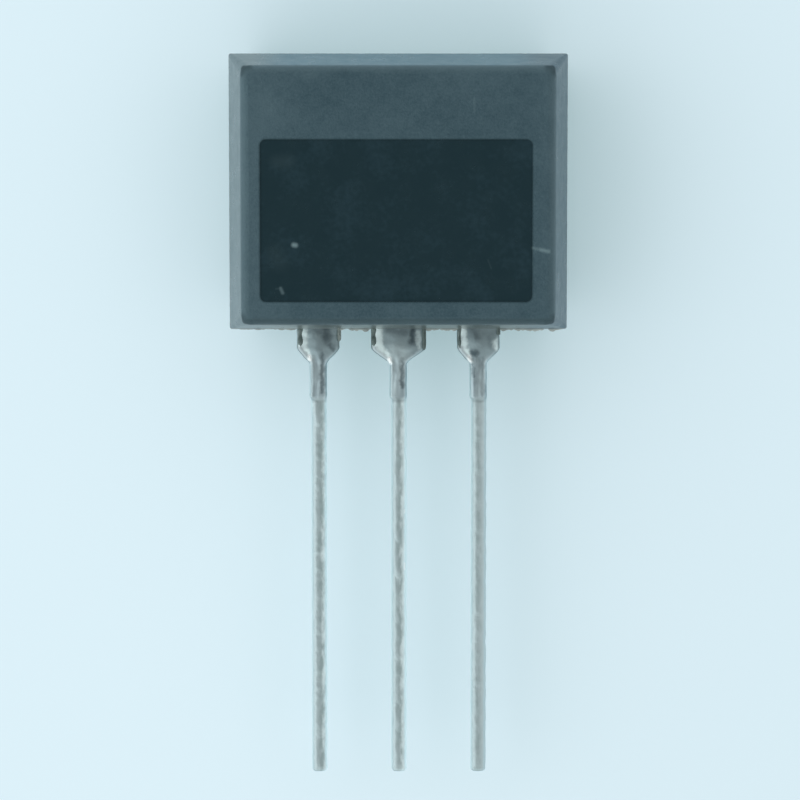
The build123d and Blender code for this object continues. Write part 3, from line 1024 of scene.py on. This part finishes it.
def flash(rows=3000, columns=10, waves=40):
    """Lip round the outline: its section is an ellipse, from a little inside the wall to its ragged reach.

    The reach is a hair's. At the lead end it is wider, and grows to the right, but not at the leads' roots.
    """
    share = np.arange(rows) / rows
    point, normal = outline(share)
    generator = np.random.default_rng(FLASH_SEED)
    length = generator.uniform(0.08, 1.5, waves) * MM
    phase = generator.uniform(0, 2 * np.pi, waves)
    cycles = np.round(4 * (body_high.x + body_high.y) / length)
    ragged = np.sin(2 * np.pi * share[:, None] * cycles + phase).sum(axis=1)
    ragged /= np.sqrt(waves / 2)
    lead_side = smooth_step(-point[:, 1], -lead_end - 0.15 * MM, -lead_end)
    wide = lead_side * smooth_step(body_high.x - np.abs(point[:, 0]), 0.05 * MM, 0.40 * MM)
    for middle, _, half_widths in plans.values():
        beside = np.abs(point[:, 0] - middle) - half_widths[0]
        wide = wide * smooth_step(beside, -0.05 * MM, 0.10 * MM)
    right = smooth_step(point[:, 0], -3.8 * MM, -1.5 * MM)
    lip = FLASH_LEFT + (FLASH_RIGHT - FLASH_LEFT) * right
    reach = FLASH_HAIR * (1 + ragged / 3) + wide * lip * np.clip(1 + 0.4 * ragged, 0, 3)
    reach = np.maximum(reach, 0.002 * MM)
    angle = np.linspace(0, 2 * np.pi, columns, endpoint=False)
    out = (reach - FLASH_SUNK)[:, None] / 2 + (reach + FLASH_SUNK)[:, None] / 2 * np.cos(angle)
    half_height = 0.012 * MM + 0.006 * MM * lead_side
    flat = point[:, None, :] + normal[:, None, :] * out[..., None]
    z = parting + half_height[:, None] * np.sin(angle)
    made = skin("parting_flash", np.concatenate([flat, z[..., None]], axis=-1), closed=True)
    made.data.materials.append(thin_resin_material())
    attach(made, "root")
    return made


flash()

# %% [markdown]
# ## Slivers of resin at the roots
#
# Before the leads are trimmed apart, resin fills the gaps beside their wide roots. The trimming tool
# leaves a sliver of it standing on each edge, no two alike. Each is a small closed surface: an upright
# superellipse section, whose half width shrinks to nothing where the sliver has snapped off.

# %% Slivers of resin
# Each sliver: the side of the root, its length, half width and shift to the right in mm, and its tone.
SLIVERS = {
    "emitter": [(-1, 0.56, 0.082, 0.030, "dark"), (1, 0.40, 0.062, 0.036, "pale")],
    "collector": [(-1, 0.55, 0.082, 0.0, "dark"), (1, 0.68, 0.066, 0.0, "dark")],
    "base": [(-1, 0.62, 0.064, 0.0, "dark"), (1, 0.21, 0.068, 0.0, "dark")],
}
SLIVER_SEED = 20


def resin_material(name, dark, lighter):
    """Broken edge of the epoxy: dull, mottled in two tones."""
    material, tree, point = new_material(name)
    pale = mottled(tree, point, 0.12)
    colour = blend_colour(tree, pale, dark, lighter)
    add_surface(tree, {"Base Color": colour, "Roughness": 0.6, "Normal": bumps(tree, pale, 0.01 * MM)})
    return material


resins = {
    "dark": resin_material("dark_resin", (0.078, 0.119, 0.116, 1.0), (0.128, 0.184, 0.176, 1.0)),
    "pale": resin_material("pale_resin", (0.160, 0.205, 0.195, 1.0), (0.300, 0.370, 0.350, 1.0)),
}


def sliver(name, x, length, half_width, tone, seed, rows=70, columns=24):
    """Section |x/a|^5 + |z/b|^5 = 1, with a shrinking as sqrt(1 - t^10) along it, and ragged by waves."""
    distance = np.linspace(-0.04 * MM, length, rows)[:, None]
    angle = np.linspace(0, 2 * np.pi, columns, endpoint=False)[None, :]
    share = np.clip(distance / length, 0, 1)
    shrink = np.sqrt(1 - 0.99 * share**10)
    generator = np.random.default_rng(seed)
    ragged = 1 + 0.03 * lumps(distance, angle, generator)
    a = half_width * shrink
    b = (half_thickness + 0.100 * MM) * (0.75 + 0.25 * shrink)
    radius = ragged * (np.abs(np.cos(angle) / a) ** 5 + np.abs(np.sin(angle) / b) ** 5) ** (-1 / 5)
    z = lead_middle + radius * np.sin(angle)
    rings = np.stack([x + radius * np.cos(angle), lead_end - distance + 0 * angle, z], axis=-1)
    made = skin(name, rings)
    made.data.materials.append(resins[tone])
    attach(made, "root")
    return made


for name, pair in SLIVERS.items():
    middle, _, half_widths = plans[name]
    for seed, (side, length, half_width, shift, tone) in enumerate(pair):
        x = middle + side * (half_widths[0] - 0.055 * MM) + (0.02 + shift) * MM
        label = f"{name}_resin_{'left' if side < 0 else 'right'}"
        sliver(label, x, length * MM, half_width * MM, tone, SLIVER_SEED + seed)

# %% [markdown]
# ## Pieces inside the epoxy
#
# The chip, its solder and the bond wires are sealed in, but each has its finish, for a cutaway or an
# exploded view. The chip is polished silicon, blue grey, with two combs of aluminium on its face, one for
# each wire. The solder is dull and mottled, and the wires are drawn aluminium with fine streaks along
# them.

# %% Pieces inside the epoxy
chip_low, chip_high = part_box("silicon_chip")
SILICON = (0.030, 0.034, 0.050, 1.0)
ALUMINIUM = (0.76, 0.77, 0.79, 1.0)
ALUMINIUM_DULL = (0.50, 0.51, 0.53, 1.0)
SOLDER = (0.30, 0.30, 0.31, 1.0)
SOLDER_PALE = (0.55, 0.55, 0.56, 1.0)


def metal_material(name, dark, pale, stretch, size, rough):
    """Metal with two tones in noise that is stretched along one axis, the same noise giving its bump."""
    material, tree, point = new_material(name)
    tone = mottled(tree, stretched(tree, point, stretch), size)
    surface = {"Base Color": blend_colour(tree, tone, dark, pale), "Metallic": 1.0, "Roughness": rough}
    add_surface(tree, surface | {"Normal": bumps(tree, tone, 0.003 * MM)})
    return material


# %% Chip


def chip_material():
    """Silicon with aluminium on its face: a pad at each side, and fingers from each pad in turn between."""
    material, tree, point = new_material("chip")
    place = add_node(tree, "SeparateXYZ", {0: point}).outputs
    middle = (chip_low + chip_high) / 2
    half = (chip_high - chip_low) / 2
    edge = 0.12 * MM
    face = {"Point": point, "Centre": (middle.x, middle.y, chip_high.z), "Border": 0.01 * MM}
    face["Half Size"] = (half.x - edge, half.y - edge, 0.01 * MM)
    fingers = math(tree, "SINE", math(tree, "MULTIPLY", place["Y"], 2 * np.pi / (0.22 * MM)))
    fingers = fade(tree, fingers, -0.3, -0.1)
    pads = fade(tree, math(tree, "ABSOLUTE", place["X"]), 0.35 * MM, 0.36 * MM)
    metal = math(tree, "MULTIPLY", math(tree, "MAXIMUM", fingers, pads), use_group(tree, box_mask, face))
    aluminium = blend_colour(tree, mottled(tree, point, 0.05), ALUMINIUM_DULL, ALUMINIUM)
    surface = {"Base Color": blend_colour(tree, metal, SILICON, aluminium), "Metallic": metal}
    surface["Roughness"] = fade(tree, metal, 0.0, 1.0, 0.12, 0.38)
    add_surface(tree, surface | {"Normal": bumps(tree, metal, 0.003 * MM)})
    return material


# %% Dress the pieces inside
dress("silicon_chip", chip_material())
dress("die_solder", metal_material("die_solder", SOLDER, SOLDER_PALE, (1, 1, 1), 0.25, 0.5))
wire_metal = metal_material("bond_wire", ALUMINIUM_DULL, ALUMINIUM, (1, 0.1, 1), 0.03, 0.3)
dress("emitter_wire", wire_metal)
dress("base_wire", wire_metal)
